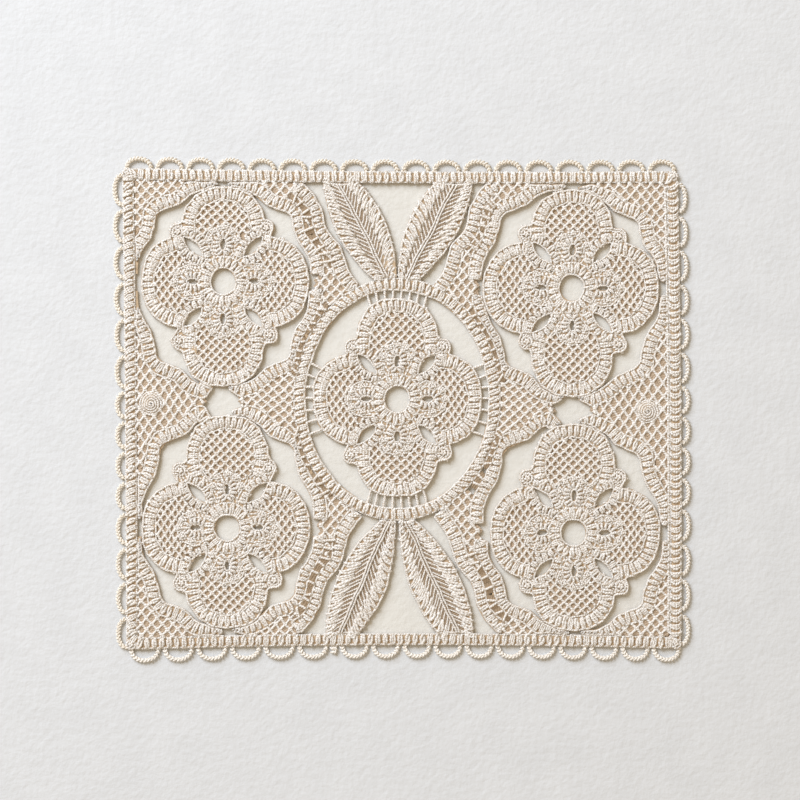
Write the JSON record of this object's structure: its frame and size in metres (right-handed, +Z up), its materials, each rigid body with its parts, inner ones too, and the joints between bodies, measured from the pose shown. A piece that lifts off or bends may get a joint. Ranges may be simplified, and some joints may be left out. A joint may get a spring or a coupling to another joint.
{
  "type": "lace mat",
  "caption": "Flat rectangular cotton lace mat with a straight border, looped edging, petalled flowers, an oval ring, leaves, wavy braids and a net ground.",
  "frame": {"origin": "centre of the mat's outline, on the surface that it lies on", "axes": "+X to the right along the long sides, +Y towards the top side of the pattern, +Z up out of the mat's face"},
  "size_m": [0.4, 0.3499, 0.0038],
  "materials": {
    "tape": "matt cream cotton, closely worked tape of thick upright stitches",
    "net": "matt cream cotton, open diamond net of twisted cord",
    "leaf": "matt cream cotton, ribbed leaf with a raised midrib"
  },
  "bodies": {
    "root": {"border_band": "tape", "braid_bottom_left_ne": "tape", "braid_bottom_left_nw": "tape", "braid_bottom_left_se": "tape", "braid_bottom_left_sw": "tape", "braid_bottom_right_ne": "tape", "braid_bottom_right_nw": "tape", "braid_bottom_right_se": "tape", "braid_bottom_right_sw": "tape", "braid_top_left_ne": "tape", "braid_top_left_nw": "tape", "braid_top_left_se": "tape", "braid_top_left_sw": "tape", "braid_top_right_ne": "tape", "braid_top_right_nw": "tape", "braid_top_right_se": "tape", "braid_top_right_sw": "tape", "dot_left": "tape", "dot_right": "tape", "edging_bottom": "tape", "edging_left": "tape", "edging_right": "tape", "edging_top": "tape", "flower_bottom_left": "tape", "flower_bottom_right": "tape", "flower_middle": "tape", "flower_top_left": "tape", "flower_top_right": "tape", "ladder_bottom": "tape", "ladder_left": "tape", "ladder_right": "tape", "ladder_top": "tape", "leaf_bottom_left": "leaf", "leaf_bottom_right": "leaf", "leaf_braid_bottom_left": "tape", "leaf_braid_bottom_right": "tape", "leaf_braid_top_left": "tape", "leaf_braid_top_right": "tape", "leaf_top_left": "leaf", "leaf_top_right": "leaf", "net_corner_bottom_left": "net", "net_corner_bottom_right": "net", "net_corner_top_left": "net", "net_corner_top_right": "net", "net_foot_bottom_left": "net", "net_foot_bottom_right": "net", "net_inner_left": "net", "net_inner_right": "net", "net_side_left": "net", "net_side_right": "net", "net_spandrel_bottom_left": "net", "net_spandrel_bottom_right": "net", "net_spandrel_top_left": "net", "net_spandrel_top_right": "net", "ring_middle": "tape"}
  },
  "joints": []
}
